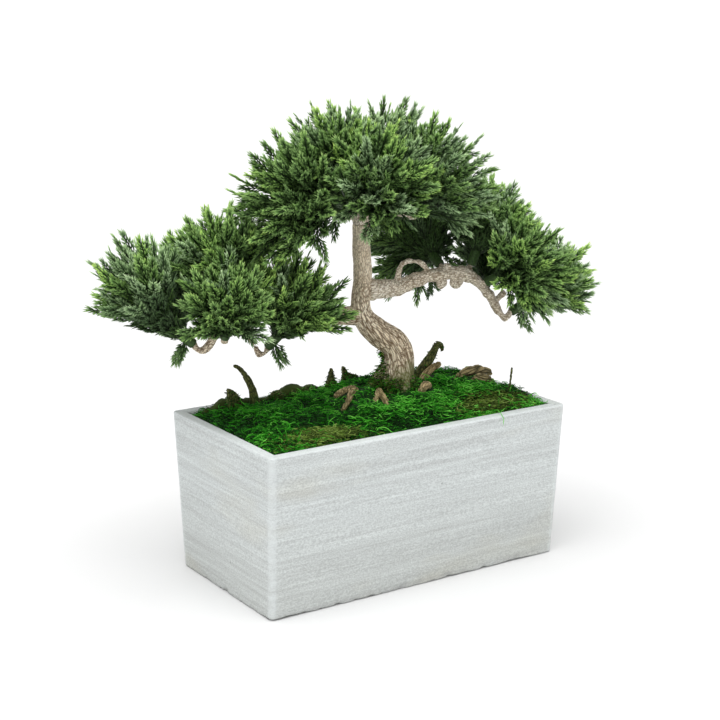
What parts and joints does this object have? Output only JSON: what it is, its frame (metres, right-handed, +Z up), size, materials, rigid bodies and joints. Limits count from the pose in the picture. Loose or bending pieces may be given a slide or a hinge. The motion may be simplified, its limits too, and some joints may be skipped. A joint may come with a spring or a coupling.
{
  "type": "artificial tabletop tree",
  "caption": "Bonsai-style artificial cedar with push-on foliage sprays, moss and bark in a tapered rectangular cement planter.",
  "frame": {"origin": "centre of the planter's underside", "axes": "+Z up, +X along the planter's long side, front towards -Y"},
  "size_m": [0.3769, 0.1819, 0.3356],
  "materials": {
    "cement": "matte",
    "foam": "matte",
    "steel": "satin",
    "trunk_bark": "matte",
    "dark_foliage": "satin",
    "foliage": "satin",
    "root_bark": "matte",
    "dark_bark": "matte",
    "moss": "matte",
    "olive_moss": "matte"
  },
  "bodies": {
    "base": {"planter": "cement", "foam_block": "foam", "trunk_stake": "steel", "trunk": "trunk_bark", "crown_branch": "trunk_bark", "root_fork": "root_bark", "root_vee": "root_bark", "root_stub": "root_bark", "root_back": "root_bark", "driftwood_upper": "root_bark", "driftwood_lower": "root_bark", "bark_horn": "dark_bark", "bark_snag": "dark_bark", "bark_cone": "dark_bark", "upright_twig": "dark_bark", "bark_shard": "dark_bark", "bark_fin": "dark_bark", "bark_chips": "dark_bark", "moss_left": "moss", "moss_middle": "moss", "moss_right": "moss", "olive_moss_front": "olive_moss", "olive_moss_right": "olive_moss"},
    "right_branch": {"right_branch": "trunk_bark", "hanging_sprig": "dark_foliage"},
    "spray_left_outer": {"spray_left_outer": "foliage"},
    "spray_left_front": {"spray_left_front": "foliage"},
    "spray_left_back": {"spray_left_back": "foliage"},
    "spray_left_top": {"spray_left_top": "foliage"},
    "spray_left_inner": {"spray_left_inner": "foliage"},
    "spray_crown_left": {"spray_crown_left": "foliage"},
    "spray_crown_front": {"spray_crown_front": "foliage"},
    "spray_crown_right": {"spray_crown_right": "foliage"},
    "spray_crown_back": {"spray_crown_back": "foliage"},
    "spray_crown_top_left": {"spray_crown_top_left": "foliage"},
    "spray_crown_top_right": {"spray_crown_top_right": "foliage"},
    "spray_right_outer": {"spray_right_outer": "foliage"},
    "spray_right_front": {"spray_right_front": "foliage"},
    "spray_right_top": {"spray_right_top": "foliage"},
    "spray_right_back": {"spray_right_back": "foliage"},
    "spray_right_back_outer": {"spray_right_back_outer": "foliage"}
  },
  "joints": [
    {"name": "right_branch_turn", "type": "hinge", "parent": "base", "child": "right_branch", "pos_m": [-0.0036, 0.0062, 0.1998], "axis": [0.9783, -0.2073, 0], "range_deg": [-4, 4]},
    {"name": "left_outer_turn", "type": "hinge", "parent": "base", "child": "spray_left_outer", "pos_m": [-0.124, 0.031, 0.171], "axis": [-0.7297, 0.1799, 0.6597], "range_deg": [-30, 30]},
    {"name": "left_front_turn", "type": "hinge", "parent": "base", "child": "spray_left_front", "pos_m": [-0.106, 0.02, 0.176], "axis": [-0.3105, -0.711, 0.6309], "range_deg": [-30, 30]},
    {"name": "left_back_turn", "type": "hinge", "parent": "base", "child": "spray_left_back", "pos_m": [-0.104, 0.038, 0.184], "axis": [-0.1809, 0.9145, 0.3618], "range_deg": [-30, 30]},
    {"name": "left_top_turn", "type": "hinge", "parent": "base", "child": "spray_left_top", "pos_m": [-0.094, 0.029, 0.192], "axis": [-0.1, 0.1, 0.99], "range_deg": [-30, 30]},
    {"name": "left_inner_turn", "type": "hinge", "parent": "base", "child": "spray_left_inner", "pos_m": [-0.074, 0.018, 0.165], "axis": [0.4192, -0.499, 0.7585], "range_deg": [-30, 30]},
    {"name": "crown_left_turn", "type": "hinge", "parent": "base", "child": "spray_crown_left", "pos_m": [-0.016, 0.008, 0.254], "axis": [-0.9405, -0.08, 0.3302], "range_deg": [-30, 30]},
    {"name": "crown_front_turn", "type": "hinge", "parent": "base", "child": "spray_crown_front", "pos_m": [-0.005, -0.003, 0.257], "axis": [-0.1702, -0.7811, 0.6008], "range_deg": [-30, 30]},
    {"name": "crown_right_turn", "type": "hinge", "parent": "base", "child": "spray_crown_right", "pos_m": [0.01, 0.003, 0.256], "axis": [0.7885, -0.4991, 0.3593], "range_deg": [-30, 30]},
    {"name": "crown_back_turn", "type": "hinge", "parent": "base", "child": "spray_crown_back", "pos_m": [0, 0.016, 0.256], "axis": [0.1494, 0.936, 0.3186], "range_deg": [-30, 30]},
    {"name": "crown_top_left_turn", "type": "hinge", "parent": "base", "child": "spray_crown_top_left", "pos_m": [-0.011, 0.008, 0.264], "axis": [-0.3501, 0.11, 0.9302], "range_deg": [-30, 30]},
    {"name": "crown_top_right_turn", "type": "hinge", "parent": "base", "child": "spray_crown_top_right", "pos_m": [0.005, 0.007, 0.264], "axis": [0.4803, 0.1701, 0.8605], "range_deg": [-30, 30]},
    {"name": "right_outer_turn", "type": "hinge", "parent": "right_branch", "child": "spray_right_outer", "pos_m": [0.112, -0.018, 0.175], "axis": [0.888, -0.1896, 0.419], "range_deg": [-30, 30]},
    {"name": "right_front_turn", "type": "hinge", "parent": "right_branch", "child": "spray_right_front", "pos_m": [0.088, -0.019, 0.2], "axis": [0.4789, -0.7483, 0.459], "range_deg": [-30, 30]},
    {"name": "right_top_turn", "type": "hinge", "parent": "right_branch", "child": "spray_right_top", "pos_m": [0.082, -0.008, 0.211], "axis": [0.4777, 0.0697, 0.8758], "range_deg": [-30, 30]},
    {"name": "right_back_turn", "type": "hinge", "parent": "right_branch", "child": "spray_right_back", "pos_m": [0.062, 0.001, 0.212], "axis": [0.0299, 0.8666, 0.4981], "range_deg": [-30, 30]},
    {"name": "right_back_outer_turn", "type": "hinge", "parent": "right_branch", "child": "spray_right_back_outer", "pos_m": [0.098, -0.006, 0.194], "axis": [0.669, 0.6391, 0.3794], "range_deg": [-30, 30]}
  ]
}
